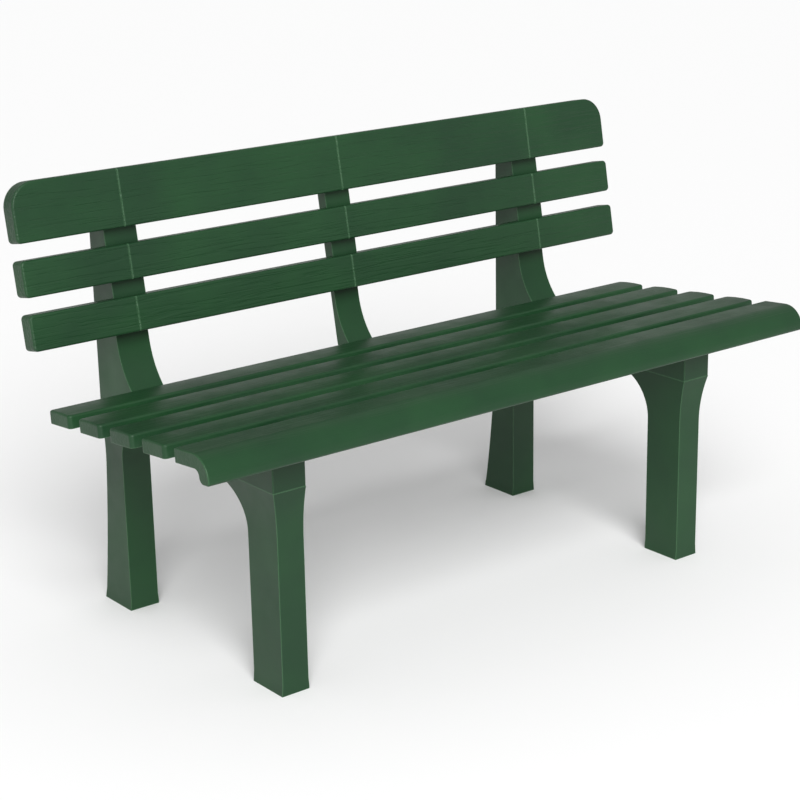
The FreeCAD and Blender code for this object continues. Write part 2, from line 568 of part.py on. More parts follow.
# How far each kind of leg's outer and inner sides stand in from its bearer's.
FRONT_TAPERS = ("Sizes.front_leg_outer_taper", "Sizes.front_leg_inner_taper")
REAR_TAPERS = ("Sizes.rear_leg_outer_taper", "Sizes.rear_leg_inner_taper")
BEARER_PLACES = ["-Sizes.bearer_centre", "0", "Sizes.bearer_centre"]


def gap_place(number):
    """Return the formula of the place along Y of the gap in front of a numbered seat slat."""
    return (f"(Places.seat_rear - ({number} * Places.slat_pitch - Sizes.seat_slat_gap / 2)"
            " * cos(Sizes.seat_slope))")


def drill_bearer(body):
    """Drill the holes for the slat screws through a bearer's upper and front walls."""
    seat = make_sketch(body, "seat_holes", "XY_Plane", "Places.seat_rear_height", "Places.seat_rear",
                       "Sizes.seat_slope")
    for number in range(5):
        draw_circle(seat, "0", f"-{number} * Places.slat_pitch - Places.slat_width / 2",
                    "Places.screw_hole")
    extrude(body, "Pocket", seat, "Sizes.seat_slat_thickness + 1.2 * Sizes.bearer_wall")
    back = make_sketch(body, "back_holes", "XZ_Plane", "-Places.back_front", "Places.back_bottom",
                       "Sizes.back_lean")
    for level in BACK_SCREWS:
        draw_circle(back, "0", level, "Places.screw_hole")
    extrude(body, "Pocket", back, "Sizes.upright_rebate + 1.2 * Sizes.bearer_wall")


def make_outer_bearer(label, side):
    """Build an outer bearer: upright, knee and arm in one moulding, open behind and underneath."""
    body = make_body(label, (f"{side} * Sizes.bearer_centre", "0", "0"))
    outline = draw_outline(make_sketch(body, "outline", "YZ_Plane"), UPRIGHT_FRONT + [
        ("Places.toe_front", "Places.toe_rest - Sizes.toe_depth"),
        ("Places.bearer_front", "Places.toe_root"),
        ("Places.bearer_front", "Places.shoulder_height"),
        ("Places.bearer_rear", "Places.shoulder_height"),
        ("Places.bearer_rear", "Places.upright_crest"),
    ])
    extrude(body, "Pad", outline, "Sizes.bearer_width", both_ways=True)
    corner = value("Sizes.bearer_width") / 2
    ends = (value("Places.bearer_front"), value("Places.bearer_rear"))
    round_edges(body, "edges", "Sizes.bearer_edge_radius",
                lambda middle, along: near(abs(middle.x), corner)
                and (near(middle.y, ends[0]) or near(middle.y, ends[1])))
    inner_width = "Sizes.bearer_width - 2 * Sizes.bearer_wall"
    front = "Places.bearer_front + Sizes.bearer_wall"
    rear = "(Places.bearer_rear - Sizes.bearer_wall)"
    arm = draw_outline(make_sketch(body, "arm_hollow", "YZ_Plane"), [
        (front, "Places.shoulder_height - 1"),
        (rear, "Places.shoulder_height - 1"),
        (rear, rest_height(rear, "Places.ceiling_drop")),
        (front, rest_height(f"({front})", "Places.ceiling_drop")),
    ])
    extrude(body, "Pocket", arm, inner_width, both_ways=True)
    toe = draw_outline(make_sketch(body, "toe_hollow", "YZ_Plane"), [
        ("Places.toe_front + Sizes.bearer_wall", "Places.shoulder_height"),
        ("Places.bearer_front", "Places.shoulder_height"),
        ("Places.bearer_front", rest_height("Places.bearer_front", "Places.ceiling_drop")),
        ("Places.toe_front + Sizes.bearer_wall",
         rest_height("(Places.toe_front + Sizes.bearer_wall)", "Places.ceiling_drop")),
    ])
    extrude(body, "Pocket", toe, inner_width, both_ways=True)
    upright = draw_outline(make_sketch(body, "upright_hollow", "YZ_Plane"), [
        ("Places.inner_crest_y", "Places.inner_crest_z"),
        ("Places.inner_step_y", "Places.back_bottom + Sizes.bearer_wall"),
        ("Places.inner_step_y + Sizes.neck_recess", "Places.back_bottom + Sizes.bearer_wall"),
        ("Places.inner_top_y", "Places.inner_top_z", "Sizes.knee_radius + Sizes.bearer_wall", -1),
        ("Places.inner_knee_y", "Places.inner_knee_z"),
        ("Places.inner_knee_y", rest_height("Places.inner_knee_y")),
        (rear, rest_height(rear)),
        (rear, "Places.heel_top"),
        ("Places.bearer_rear + 1", "Places.heel_top"),
        ("Places.bearer_rear + 1", "Places.inner_crest_z"),
    ])
    extrude(body, "Pocket", upright, inner_width, both_ways=True)
    ribs = make_sketch(body, "arm_ribs", "YZ_Plane")
    for along in ("(Places.front_leg_rear + Sizes.fit_clearance)", gap_place(3), gap_place(2),
                  gap_place(1), "(Places.rear_leg_front - Sizes.fit_clearance - Sizes.slat_rib)"):
        draw_rectangle(ribs, along, "Places.shoulder_height", f"{along} + Sizes.slat_rib",
                       rest_height(along, "Sizes.bearer_wall / 2"))
    extrude(body, "Pad", ribs, "Sizes.bearer_width - Sizes.bearer_wall", both_ways=True)
    ribs = make_sketch(body, "upright_ribs", "YZ_Plane")
    for level, recess in RIB_LEVELS:
        draw_rectangle(ribs, face_place(level, recess) + " - Sizes.bearer_wall / 2", level,
                       "Places.bearer_rear - Sizes.rib_setback", f"{level} + Sizes.slat_rib")
    extrude(body, "Pad", ribs, "Sizes.bearer_width - Sizes.bearer_wall", both_ways=True)
    drill_bearer(body)
    bolts = make_sketch(body, "bolt_holes", "YZ_Plane")
    for across, upward in LEG_BOLTS:
        draw_circle(bolts, across, upward, "Places.bolt_hole")
    extrude(body, "Pocket", bolts, "2 * Sizes.bearer_width", both_ways=True)
    return body


def make_centre_bearer():
    """Build the centre bearer: a shallow channel with no legs, bent under the seat."""
    body = make_body("centre_bearer")
    under_front = "Places.under_rear - (Places.toe_front - Places.seat_rear) * Places.rest_rise"
    outline = draw_outline(make_sketch(body, "outline", "YZ_Plane"), UPRIGHT_FRONT + [
        ("Places.toe_front", under_front + " + Sizes.centre_arm_depth / 2"),
        ("Places.bearer_front", under_front.replace("toe_front", "bearer_front")),
        ("Places.corner_y - Places.corner_run * cos(Sizes.seat_slope)",
         "Places.corner_z + Places.corner_run * sin(Sizes.seat_slope)", "Sizes.centre_knee_radius", 1),
        ("Places.corner_y + Places.corner_run * sin(Sizes.back_lean)",
         "Places.corner_z + Places.corner_run * cos(Sizes.back_lean)"),
        ("Places.rear_face_y + (Places.upright_crest - Places.back_bottom) / Places.face_rise",
         "Places.upright_crest"),
    ])
    extrude(body, "Pad", outline, "Sizes.centre_bearer_width", both_ways=True)
    front = "(Places.toe_front + Sizes.bearer_wall)"
    below = "Places.corner_z - 2 * Sizes.centre_arm_depth"
    behind = "Places.rear_face_y + 3 * Sizes.centre_upright_depth"
    hollow = draw_outline(make_sketch(body, "hollow", "YZ_Plane"), [
        ("Places.inner_crest_y", "Places.inner_crest_z"),
        ("Places.inner_step_y", "Places.back_bottom + Sizes.bearer_wall"),
        ("Places.inner_step_y + Sizes.neck_recess", "Places.back_bottom + Sizes.bearer_wall"),
        ("Places.inner_top_y", "Places.inner_top_z", "Sizes.knee_radius + Sizes.bearer_wall", -1),
        ("Places.inner_knee_y", "Places.inner_knee_z"),
        ("Places.inner_knee_y", rest_height("Places.inner_knee_y", "Places.ceiling_drop")),
        (front, rest_height(front, "Places.ceiling_drop")),
        (front, below),
        (f"{behind} + (Places.upright_crest - Places.back_bottom) / Places.face_rise", below),
        (f"{behind} + (Places.upright_crest - Places.back_bottom) / Places.face_rise",
         "Places.inner_crest_z"),
    ])
    extrude(body, "Pocket", hollow, "Sizes.centre_bearer_width - 2 * Sizes.bearer_wall", both_ways=True)
    ribs = make_sketch(body, "ribs", "YZ_Plane")
    for level, recess in RIB_LEVELS:
        draw_rectangle(ribs, face_place(level, recess) + " - Sizes.bearer_wall / 2", level,
                       face_place(level, "0") + " + Sizes.centre_upright_depth - Sizes.bearer_wall"
                       " - Sizes.rib_setback", f"{level} + Sizes.slat_rib")
    for number in (1, 2, 3, 4):
        along = gap_place(number)
        draw_rectangle(ribs, along, rest_height(along, "(Sizes.centre_arm_depth - Sizes.rib_setback)"),
                       f"{along} + Sizes.slat_rib", rest_height(along, "Sizes.bearer_wall / 2"))
    extrude(body, "Pad", ribs, "Sizes.centre_bearer_width - Sizes.bearer_wall", both_ways=True)
    drill_bearer(body)
    return body


def trim_leg_sides(body, side, tapers):
    """Narrow a leg below its capital by an outer and an inner taper, down to its spread foot."""
    sketch = make_sketch(body, "side_trim", "XZ_Plane")
    neck = "(Places.shoulder_height - Sizes.capital_rise)"
    for local, hand in (("1", 1), ("-1", -1)):
        taper = tapers[0] if local == side else tapers[1]
        half = f"(Sizes.bearer_width / 2 - {taper})"
        draw_outline(sketch, [
            (f"{local} * ({half} + Sizes.foot_flare)", "0"),
            (f"{local} * ({half} + Sizes.foot_flare)", "-1"),
            (f"{local} * (Sizes.bearer_width / 2 + 1)", "-1"),
            (f"{local} * (Sizes.bearer_width / 2 + 1)", "Places.shoulder_height"),
            (f"{local} * Sizes.bearer_width / 2", "Places.shoulder_height",
             f"(Sizes.capital_rise ^ 2 + {taper} ^ 2) / (2 * {taper})", hand),
            (f"{local} * {half}", neck),
            (f"{local} * {half}", "Sizes.foot_rise"),
        ])
    extrude(body, "Pocket", sketch, "4 * Sizes.overall_depth", both_ways=True)


def add_plug(body, front, rear, height):
    """Stand the plug on a leg's shoulder, to go up inside the bearer."""
    sketch = draw_rectangle(make_sketch(body, "plug", "XY_Plane", "Places.shoulder_height"),
                            "-Places.plug_width / 2", front, "Places.plug_width / 2", rear)
    extrude(body, "Pad", sketch, height)


def hollow_leg(body, side, tapers, corners, gusset, plug):
    """Hollow a leg's shaft and gusset, leaving a closed sole, and its plug from above."""
    width = f"Sizes.bearer_width - {tapers[0]} - {tapers[1]} - 2 * Sizes.leg_wall"
    middle = f"{side} * ({tapers[1]} - {tapers[0]}) / 2"
    shaft = draw_outline(make_sketch(body, "hollow", "YZ_Plane", middle), corners)
    extrude(body, "Pocket", shaft, width, both_ways=True)
    web = draw_outline(make_sketch(body, "gusset_hollow", "YZ_Plane", middle), gusset)
    extrude(body, "Pocket", web, width, both_ways=True)
    inside = draw_rectangle(make_sketch(body, "plug_hollow", "YZ_Plane"), plug[0],
                            "Places.shoulder_height - Sizes.leg_wall", plug[1], plug[2])
    extrude(body, "Pocket", inside, "Places.plug_width - 2 * Sizes.leg_wall", both_ways=True)


def gusset_hollow(root, side, radius):
    """Return the outline of a gusset's hollow, from the leg's face at root towards side."""
    centre_z = f"(Places.shoulder_height - Sizes.gusset_edge - {radius})"
    outer = f"({radius} + Sizes.leg_wall)"
    tip = f"{root} + {side} * ({radius} - Sizes.leg_wall)"
    return [
        (root, f"{centre_z} + sqrt({outer} ^ 2 - {radius} ^ 2)", outer, -int(side)),
        (tip, f"{centre_z} + sqrt({outer} ^ 2 - Sizes.leg_wall ^ 2)"),
        (tip, "Places.shoulder_height + 1"),
        (root, "Places.shoulder_height + 1"),
    ]


def make_front_leg(label, side):
    """Build a front leg: a hollow box with a gusset towards the back and a plug on top."""
    body = make_body(label, (f"{side} * Sizes.bearer_centre", "0", "0"))
    arch = "(Places.shoulder_height - Sizes.gusset_edge)"
    tip = "Places.front_leg_rear + Sizes.front_gusset"
    sweep = "(Sizes.capital_rise ^ 2 + Sizes.leg_front_flare ^ 2) / (2 * Sizes.leg_front_flare)"
    outline = draw_outline(make_sketch(body, "outline", "YZ_Plane"), [
        ("Places.front_leg_front", "0"),
        ("Places.front_leg_rear", "0"),
        ("Places.front_leg_rear", f"{arch} - Sizes.front_gusset", "Sizes.front_gusset", -1),
        (tip, arch),
        (tip, "Places.shoulder_height"),
        ("Places.bearer_front", "Places.shoulder_height", sweep, -1),
        ("Places.front_leg_front", "Places.shoulder_height - Sizes.capital_rise"),
    ])
    extrude(body, "Pad", outline, "Sizes.bearer_width", both_ways=True)
    trim_leg_sides(body, side, FRONT_TAPERS)
    add_plug(body, "Places.front_plug_front", "Places.front_leg_rear", "Sizes.front_plug")
    front = "Places.front_leg_front + Sizes.leg_wall"
    rear = "Places.front_leg_rear - Sizes.leg_wall"
    hollow_leg(body, side, FRONT_TAPERS, [
        (front, "Sizes.leg_wall"),
        (rear, "Sizes.leg_wall"),
        (rear, "Places.shoulder_height"),
        (front, "Places.shoulder_height"),
    ], gusset_hollow("Places.front_leg_rear", "1", "Sizes.front_gusset"),
        ("Places.front_plug_front + Sizes.leg_wall", rear, "Places.front_plug_top + 1"))
    hole = draw_circle(make_sketch(body, "bolt_hole", "YZ_Plane"), *LEG_BOLTS[0], "Places.bolt_hole")
    extrude(body, "Pocket", hole, "2 * Sizes.bearer_width", both_ways=True)
    return body


def make_rear_leg(label, side):
    """Build a rear leg: a hollow box that deepens towards the ground, with a gusset and a plug."""
    body = make_body(label, (f"{side} * Sizes.bearer_centre", "0", "0"))
    arch = "(Places.shoulder_height - Sizes.gusset_edge)"
    tip = "Places.rear_leg_front - Sizes.rear_gusset"
    outline = draw_outline(make_sketch(body, "outline", "YZ_Plane"), [
        ("Places.rear_leg_front", "0"),
        ("Places.rear_foot", "0", "Sizes.rear_sweep", -1),
        ("Places.bearer_rear", "Places.shoulder_height"),
        (tip, "Places.shoulder_height"),
        (tip, arch, "Sizes.rear_gusset", -1),
        ("Places.rear_leg_front", f"{arch} - Sizes.rear_gusset"),
    ])
    extrude(body, "Pad", outline, "Sizes.bearer_width", both_ways=True)
    trim_leg_sides(body, side, REAR_TAPERS)
    add_plug(body, "Places.rear_leg_front", "Places.rear_plug_rear", "Sizes.rear_plug")
    front = "Places.rear_leg_front + Sizes.leg_wall"
    neck = "Places.rear_plug_rear - Sizes.leg_wall"
    hollow_leg(body, side, REAR_TAPERS, [
        (front, "Sizes.leg_wall"),
        ("Places.rear_foot - 2 * Sizes.leg_wall", "Sizes.leg_wall", "Sizes.rear_sweep", -1),
        (neck, "Places.shoulder_height"),
        (front, "Places.shoulder_height"),
    ], gusset_hollow("Places.rear_leg_front", "-1", "Sizes.rear_gusset"),
        (front, neck, "Places.rear_plug_top + 1"))
    hole = draw_circle(make_sketch(body, "bolt_hole", "YZ_Plane"), *LEG_BOLTS[1], "Places.bolt_hole")
    extrude(body, "Pocket", hole, "2 * Sizes.bearer_width", both_ways=True)
    return body


def make_slat_screws(label, place, lean, role, plane, spots, reach, toward_slat_reversed):
    """Build a group of slat screws, whose heads sit on the bearers' inner faces."""
    body = make_body(label, place, lean)
    shanks = make_sketch(body, "shanks", role, plane)
    heads = make_sketch(body, "heads", role, plane)
    for across, upward in spots:
        draw_circle(shanks, across, upward, "Sizes.screw_shank")
        draw_circle(heads, across, upward, "Sizes.screw_head")
    extrude(body, "Pad", shanks, reach, reverse=toward_slat_reversed)
    extrude(body, "Pad", heads, "Sizes.screw_head_height", reverse=not toward_slat_reversed)
    return body


def draw_hexagon(sketch, across, upward, flats):
    """Draw a hexagon by its width across flats."""
    corners = []
    for number in range(6):
        angle = 60 * number
        corners.append((f"{across} + {flats} / sqrt(3) * cos({angle})",
                        f"{upward} + {flats} / sqrt(3) * sin({angle})"))
    return draw_outline(sketch, corners)


def mirror(body, features):
    """Repeat features on the other side of the bench."""
    mirrored = body.newObject("PartDesign::Mirrored", f"{body.Label}_mirrored")
    mirrored.Originals = features
    plane = next(item for item in body.Origin.OriginFeatures if item.Role == "YZ_Plane")
    mirrored.MirrorPlane = (plane, [""])
    body.Tip = mirrored
    document.recompute()


def make_bolts():
    """Build the four leg bolts: hexagon heads outside the bearers, shanks through both walls."""
    body = make_body("leg_bolts")
    outside = "-Sizes.bearer_centre - Sizes.bearer_width / 2 - Sizes.washer_thickness"
    shanks = make_sketch(body, "shanks", "YZ_Plane", outside)
    heads = make_sketch(body, "heads", "YZ_Plane", outside)
    for across, upward in LEG_BOLTS:
        draw_circle(shanks, across, upward, "Sizes.bolt_shank")
        draw_hexagon(heads, across, upward, "Sizes.bolt_head_across")
    shank = extrude(body, "Pad", shanks, "Sizes.bearer_width + 2 * Sizes.washer_thickness"
                                         " + Sizes.nut_height + Sizes.bolt_tail")
    head = extrude(body, "Pad", heads, "Sizes.bolt_head_height", reverse=True)
    mirror(body, [shank, head])


def make_washers():
    """Build the washers under the bolt heads and the nuts."""
    body = make_body("leg_bolt_washers")
    features = []
    for name, plane in (("outer", "-Sizes.bearer_centre - Sizes.bearer_width / 2 - Sizes.washer_thickness"),
                        ("inner", "-Sizes.bearer_centre + Sizes.bearer_width / 2")):
        sketch = make_sketch(body, name, "YZ_Plane", plane)
        for across, upward in LEG_BOLTS:
            draw_circle(sketch, across, upward, "Sizes.washer_radius")
            draw_circle(sketch, across, upward, "Places.bolt_hole")
        features.append(extrude(body, "Pad", sketch, "Sizes.washer_thickness"))
    mirror(body, features)


def make_nuts():
    """Build the nuts on the bolts' inner ends."""
    body = make_body("leg_bolt_nuts")
    sketch = make_sketch(body, "nuts", "YZ_Plane",
                         "-Sizes.bearer_centre + Sizes.bearer_width / 2 + Sizes.washer_thickness")
    for across, upward in LEG_BOLTS:
        draw_hexagon(sketch, across, upward, "Sizes.bolt_head_across")
        draw_circle(sketch, across, upward, "Sizes.bolt_shank + Sizes.fit_clearance / 10")
    mirror(body, [extrude(body, "Pad", sketch, "Sizes.nut_height")])


sheet = make_sheet("Sizes", SIZES)
places = make_sheet("Places", PLACES, formulas=True)


def build():
    """Build every sub-part of the bench."""
    for number in range(4):
        make_seat_slat(number)
    make_front_slat()
    make_back_slat("lower_back_slat", 0, "Sizes.back_slat_height", "Sizes.slat_corner_radius",
                   "Sizes.back_slat_height", PLAIN_SCREWS)
    make_back_slat("middle_back_slat", 1, "Sizes.back_slat_height", "Sizes.slat_corner_radius",
                   "Sizes.back_slat_height", PLAIN_SCREWS)
    crest = "Sizes.upright_top - 2 * Places.back_pitch + Sizes.bearer_wall * 2"
    make_back_slat("top_back_slat", 2, "Sizes.top_slat_height", "Sizes.top_corner_radius", crest,
                   TOP_SCREWS)
    make_outer_bearer("left_bearer", "-1")
    make_centre_bearer()
    make_outer_bearer("right_bearer", "1")
    for name, side in (("left", "-1"), ("right", "1")):
        make_front_leg(f"{name}_front_leg", side)
        make_rear_leg(f"{name}_rear_leg", side)
    seat_spots = [(along, f"-{number} * Places.slat_pitch - Places.slat_width / 2")
                  for along in BEARER_PLACES for number in range(5)]
    make_slat_screws("seat_slat_screws", seat_place(0), "Sizes.seat_slope", "XY_Plane",
                     "-Sizes.seat_slat_thickness - Sizes.bearer_wall", seat_spots,
                     "Sizes.bearer_wall + Sizes.screw_bite", False)
    back_spots = [(along, level) for along in BEARER_PLACES for level in BACK_SCREWS]
    make_slat_screws("back_slat_screws", ("0", "Places.back_front", "Places.back_bottom"),
                     "Sizes.back_lean", "XZ_Plane", "-Sizes.upright_rebate - Sizes.bearer_wall",
                     back_spots, "Sizes.bearer_wall + Sizes.screw_bite", False)
    make_bolts()
    make_washers()
    make_nuts()


def check_and_export():
    """Stop if any object failed, then write one file for each sub-part."""
    document.recompute()
    for item in document.Objects:
        if "Invalid" in item.State or "Error" in item.State:
            raise RuntimeError(f"{item.Name} failed: {item.State}")
    os.makedirs("parts", exist_ok=True)
    for body in sub_parts:
        if body.Shape.isNull() or not body.Shape.isValid():
            raise RuntimeError(f"{body.Label} has no valid shape")
    for body in sub_parts:
        body.Shape.exportStep(f"parts/{body.Label}.step")
        box = body.Shape.optimalBoundingBox()
        print(f"{body.Label}: {len(body.Shape.Solids)} solids, {body.Shape.Volume / 1000:.1f} cm3, "
              f"Y {box.YMin:.1f} to {box.YMax:.1f}, Z {box.ZMin:.1f} to {box.ZMax:.1f}")


build()
check_and_export()
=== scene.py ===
"""A garden bench moulded in dark green polypropylene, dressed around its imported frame."""

import logging
import math
from dataclasses import dataclass
from enum import Enum

import bmesh
import bpy
from mathutils import Matrix, Vector


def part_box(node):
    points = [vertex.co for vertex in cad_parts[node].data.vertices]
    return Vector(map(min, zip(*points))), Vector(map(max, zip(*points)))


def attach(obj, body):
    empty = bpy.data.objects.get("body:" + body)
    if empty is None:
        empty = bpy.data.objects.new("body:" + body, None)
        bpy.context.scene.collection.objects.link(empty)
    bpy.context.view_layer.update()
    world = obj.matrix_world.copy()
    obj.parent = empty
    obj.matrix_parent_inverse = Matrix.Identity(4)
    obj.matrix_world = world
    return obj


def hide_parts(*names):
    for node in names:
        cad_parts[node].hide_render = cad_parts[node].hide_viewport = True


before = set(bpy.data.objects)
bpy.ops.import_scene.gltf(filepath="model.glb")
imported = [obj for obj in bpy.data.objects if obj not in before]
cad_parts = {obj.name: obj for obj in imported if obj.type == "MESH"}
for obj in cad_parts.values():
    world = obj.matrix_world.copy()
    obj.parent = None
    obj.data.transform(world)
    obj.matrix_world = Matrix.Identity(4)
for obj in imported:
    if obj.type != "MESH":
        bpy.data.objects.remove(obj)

LOG = logging.getLogger("garden_bench")
MM = 0.001
# Points closer than this are one point.
WELD_MM = 0.01

Colour = tuple[float, float, float, float]
Place = tuple[float, float, float]


def linearise(hex_colour: str) -> Colour:
    """Turn an sRGB hex colour into the linear values that shaders use.

    Args:
        hex_colour: A colour such as "#2f5a38".

    Returns:
        Linear red, green and blue, with an alpha of one.
    """
    channels = [int(hex_colour[place:place + 2], 16) / 255 for place in (1, 3, 5)]
    linear = [c / 12.92 if c <= 0.04045 else ((c + 0.055) / 1.055) ** 2.4 for c in channels]
    return (linear[0], linear[1], linear[2], 1.0)


def grey(level: float) -> Colour:
    """Make a grey.

    Args:
        level: How light it is, in linear light.

    Returns:
        The grey, with an alpha of one.
    """
    return (level, level, level, 1.0)


def add_node(
    tree: bpy.types.NodeTree,
    kind: str,
    settings: dict[str, object] | None = None,
    inputs: dict[str | int, object] | None = None,
) -> bpy.types.Node:
    """Add a shader node with its settings, values and links.

    Args:
        tree: The node tree that gets the node.
        kind: The node's type, without its "ShaderNode" prefix.
        settings: Properties of the node itself.
        inputs: What goes into each input: a value, or another node's output socket.

    Returns:
        The new node.
    """
    node = tree.nodes.new(f"ShaderNode{kind}")
    for name, value in (settings or {}).items():
        setattr(node, name, value)
    for name, value in (inputs or {}).items():
        if isinstance(value, bpy.types.NodeSocket):
            tree.links.new(value, node.inputs[name])
        else:
            node.inputs[name].default_value = value
    return node


def fill_ramp(node: bpy.types.Node, stops: list[tuple[float, Colour]]) -> None:
    """Set a colour ramp's stops.

    Args:
        node: The colour ramp node.
        stops: Place and colour of each stop, in order.
    """
    elements = node.color_ramp.elements
    while len(elements) > 1:
        elements.remove(elements[-1])
    elements[0].position, elements[0].color = stops[0]
    for place, colour in stops[1:]:
        elements.new(place).color = colour


def new_material(name: str) -> bpy.types.Material:
    """Start a material with an empty node tree.

    Args:
        name: The material's name.

    Returns:
        The material, with no nodes yet.
    """
    material = bpy.data.materials.new(name)
    material.use_nodes = True
    material.node_tree.nodes.clear()
    return material


def place_in_scene(name: str, data: bpy.types.ID) -> bpy.types.Object:
    """Make an object and put it in the scene.

    Args:
        name: The object's name.
        data: Its mesh, light or camera.

    Returns:
        The new object.
    """
    thing = bpy.data.objects.new(name, data)
    bpy.context.scene.collection.objects.link(thing)
    return thing


def middle_x_mm(node: str) -> float:
    """Find how far along the bench a node's middle is.

    Args:
        node: The node's name.

    Returns:
        The distance from the bench's centre, in millimetres.
    """
    low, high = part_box(node)
    return (low[0] + high[0]) / 2 / MM


class Texture(Enum):
    """How the mould was finished where it shaped a surface."""

    WOOD_GRAIN = "wood grain along the length"
    FINE_SPARK = "fine spark-eroded matt"


@dataclass(frozen=True)
class MouldedPolypropylene:
    """Injection-moulded polypropylene, coloured through, with a satin skin.

    It reads as a dense, slightly waxy green: broad soft highlights, barely any grain at arm's
    length, faint flow marks, and a painted highlight that makes the edges a shade paler, as if
    light caught them.  The matt mould finish scatters part of the gloss, so the sheen stays under
    that of a polished skin.
    """

    name: str
    texture: Texture = Texture.FINE_SPARK
    body: str = "#1b4023"
    deep: str = "#173720"
    # The paler green is a painted highlight for the edges. It stands in for light catching them.
    edge_highlight_colour: str = "#5c8a62"
    flow_mark_mm: float = 140.0
    flow_stops: tuple[float, float] = (0.32, 0.68)
    roughness: float = 0.42
    glossier_by: float = 0.05
    rougher_by: float = 0.06
    gloss_patch_mm: float = 45.0
    ior: float = 1.49
    sheen: float = 0.3
    # Painted edge highlight: how far it reaches, where it starts and where it is full, and how much of the
    # paler green it mixes in.
    highlight_radius_mm: float = 2.2
    highlight_starts: float = 0.995
    highlight_full: float = 0.9
    highlight_share: float = 0.45
    spark_mm: float = 1.2
    spark_depth_mm: float = 0.05
    grain_mm: float = 7.0
    grain_squeeze: float = 0.055
    grain_stops: tuple[tuple[float, float], ...] = ((0.38, 0.0), (0.5, 0.75), (0.62, 1.0))
    grain_depth_mm: float = 0.2

    def build(self) -> bpy.types.Material:
        """Make the material.

        Returns:
            The finished material.
        """
        material = new_material(self.name)
        tree = material.node_tree
        place = add_node(tree, "TexCoord").outputs["Object"]

        # Flow marks: cloudy patches where the melt cooled unevenly.
        clouds = add_node(tree, "TexNoise", inputs={
            "Vector": place, "Scale": 1 / (self.flow_mark_mm * MM), "Detail": 3.0, "Roughness": 0.55})
        blend = add_node(tree, "ValToRGB", inputs={"Fac": clouds.outputs["Fac"]})
        fill_ramp(blend, list(zip(self.flow_stops, (linearise(self.deep), linearise(self.body)))))
        # Painted highlight: the edges are mixed towards the paler green, as if light caught them.
        highlighted = add_node(tree, "Mix", {"data_type": "RGBA"}, {
            "Factor": self.painted_edge_highlight(tree), "A": blend.outputs["Color"], "B": linearise(self.edge_highlight_colour)})

        # The gloss varies in smaller patches.
        patches = add_node(tree, "TexNoise", inputs={
            "Vector": place, "Scale": 1 / (self.gloss_patch_mm * MM), "Detail": 4.0, "Roughness": 0.6})
        rough = add_node(tree, "MapRange", inputs={
            "Value": patches.outputs["Fac"], "From Min": 0.3, "From Max": 0.7,
            "To Min": self.roughness - self.glossier_by, "To Max": self.roughness + self.rougher_by})

        shader = add_node(tree, "BsdfPrincipled", inputs={
            "Base Color": highlighted.outputs["Result"], "Roughness": rough.outputs["Result"],
            "IOR": self.ior, "Specular IOR Level": self.sheen, "Normal": self.relief(tree, place)})
        add_node(tree, "OutputMaterial", inputs={"Surface": shader.outputs["BSDF"]})
        return material

    def painted_edge_highlight(self, tree: bpy.types.NodeTree) -> bpy.types.NodeSocket:
        """Find the edges, which get a painted highlight: a paler green that stands in for light catching
        them.

        Args:
            tree: The material's node tree.

        Returns:
            A socket that is above zero on the edges only.
        """
        rounded = add_node(tree, "Bevel", {"samples": 4}, {"Radius": self.highlight_radius_mm * MM})
        flat = add_node(tree, "NewGeometry").outputs["Normal"]
        match = add_node(tree, "VectorMath", {"operation": "DOT_PRODUCT"},
                         {0: rounded.outputs["Normal"], 1: flat})
        return add_node(tree, "MapRange", inputs={
            "Value": match.outputs["Value"], "From Min": self.highlight_starts, "From Max": self.highlight_full,
            "To Min": 0.0, "To Max": self.highlight_share}).outputs["Result"]

    def relief(self, tree: bpy.types.NodeTree, place: bpy.types.NodeSocket) -> bpy.types.NodeSocket:
        """Lay the mould's texture over the surface.

        Args:
            tree: The material's node tree.
            place: Where on the object the surface is, in metres.

        Returns:
            The bumped normal.
        """
        # The real matt is finer, near 0.3 mm; it is drawn coarser so that it shows.
        spark = add_node(tree, "TexNoise", inputs={
            "Vector": place, "Scale": 1 / (self.spark_mm * MM), "Detail": 2.0, "Roughness": 0.5})
        matt = add_node(tree, "Bump", inputs={
            "Strength": 0.25, "Distance": self.spark_depth_mm * MM, "Height": spark.outputs["Fac"]})
        if self.texture is Texture.FINE_SPARK:
            return matt.outputs["Normal"]
        # Wood grain pressed into the face: lines a few millimetres apart that wander along the slat.
        along = add_node(tree, "Mapping", inputs={
            "Vector": place, "Scale": (self.grain_squeeze, 1.0, 1.0)})
        grain = add_node(tree, "TexNoise", inputs={
            "Vector": along.outputs["Vector"], "Scale": 1 / (self.grain_mm * MM), "Detail": 3.0,
            "Roughness": 0.55, "Distortion": 0.9})
        lines = add_node(tree, "ValToRGB", inputs={"Fac": grain.outputs["Fac"]})
        fill_ramp(lines, [(stop, grey(height)) for stop, height in self.grain_stops])
        return add_node(tree, "Bump", inputs={
            "Strength": 0.9, "Distance": self.grain_depth_mm * MM, "Height": lines.outputs["Color"],
            "Normal": matt.outputs["Normal"]}).outputs["Normal"]


